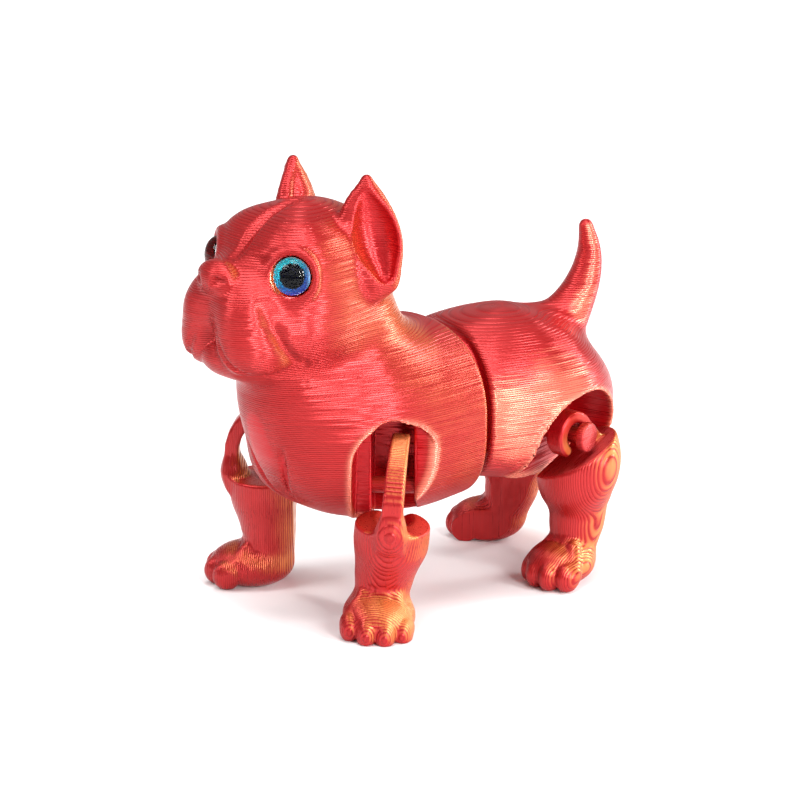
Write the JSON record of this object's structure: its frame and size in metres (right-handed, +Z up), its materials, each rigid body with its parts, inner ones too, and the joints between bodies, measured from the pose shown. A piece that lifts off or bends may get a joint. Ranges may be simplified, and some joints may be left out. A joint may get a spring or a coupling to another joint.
{
  "type": "articulated dog figurine",
  "caption": "Jointed toy bulldog with a turning waist, hook-hung swinging legs, pricked ears, a raised tail and domed glass eyes; it stands on flat paws.",
  "frame": {"origin": "centre of the outline on the ground, under the standing figure", "axes": "-Y is where the head points, +X is the dog's left, +Z is up"},
  "size_m": [0.05, 0.0802, 0.0745],
  "materials": {
    "front_shell_silk": "silky red printed plastic with gold sheen and fine layer lines",
    "rear_shell_silk": "silky red printed plastic with gold sheen and fine layer lines",
    "leg_silk_front_left": "silky red and gold printed plastic",
    "leg_silk_front_right": "silky red and gold printed plastic",
    "leg_silk_rear_left": "silky red and gold printed plastic",
    "leg_silk_rear_right": "silky red and gold printed plastic",
    "bar_red": "smooth deep red printed plastic",
    "pin_red": "smooth deep red printed plastic",
    "eye_glass": "clear polished glass",
    "iris_paint": "printed blue-green iris with a black pupil"
  },
  "bodies": {
    "front_body": {"front_body_shell": "front_shell_silk", "hook_bar_front_left": "bar_red", "hook_bar_front_right": "bar_red", "eye_glass_left": "eye_glass", "eye_glass_right": "eye_glass", "eye_iris_left": "iris_paint", "eye_iris_right": "iris_paint"},
    "rear_body": {"rear_body_shell": "rear_shell_silk", "waist_pin": "pin_red", "hook_bar_rear_left": "bar_red", "hook_bar_rear_right": "bar_red"},
    "leg_front_left": {"leg_front_left": "leg_silk_front_left"},
    "leg_front_right": {"leg_front_right": "leg_silk_front_right"},
    "leg_rear_left": {"leg_rear_left": "leg_silk_rear_left"},
    "leg_rear_right": {"leg_rear_right": "leg_silk_rear_right"}
  },
  "joints": [
    {"name": "waist_turn", "type": "hinge", "parent": "front_body", "child": "rear_body", "pos_m": [0.0012, 0.00639, 0.0317], "axis": [0, 0, 1], "range_deg": [-2, 30]},
    {"name": "leg_front_left_swing", "type": "hinge", "parent": "front_body", "child": "leg_front_left", "pos_m": [0.01142, -0.00851, 0.0219], "axis": [-0.7071, -0.7071, 0], "range_deg": [-5, 23]},
    {"name": "leg_front_right_swing", "type": "hinge", "parent": "front_body", "child": "leg_front_right", "pos_m": [-0.00901, -0.00851, 0.0219], "axis": [-0.7071, 0.7071, 0], "range_deg": [-10, 20]},
    {"name": "leg_rear_left_swing", "type": "hinge", "parent": "rear_body", "child": "leg_rear_left", "pos_m": [0.01857, 0.02317, 0.0257], "axis": [-0.9659, -0.2588, 0], "range_deg": [-10, 20]},
    {"name": "leg_rear_right_swing", "type": "hinge", "parent": "rear_body", "child": "leg_rear_right", "pos_m": [-0.00625, 0.02935, 0.0257], "axis": [-0.7314, 0.682, 0], "range_deg": [-10, 20]}
  ]
}
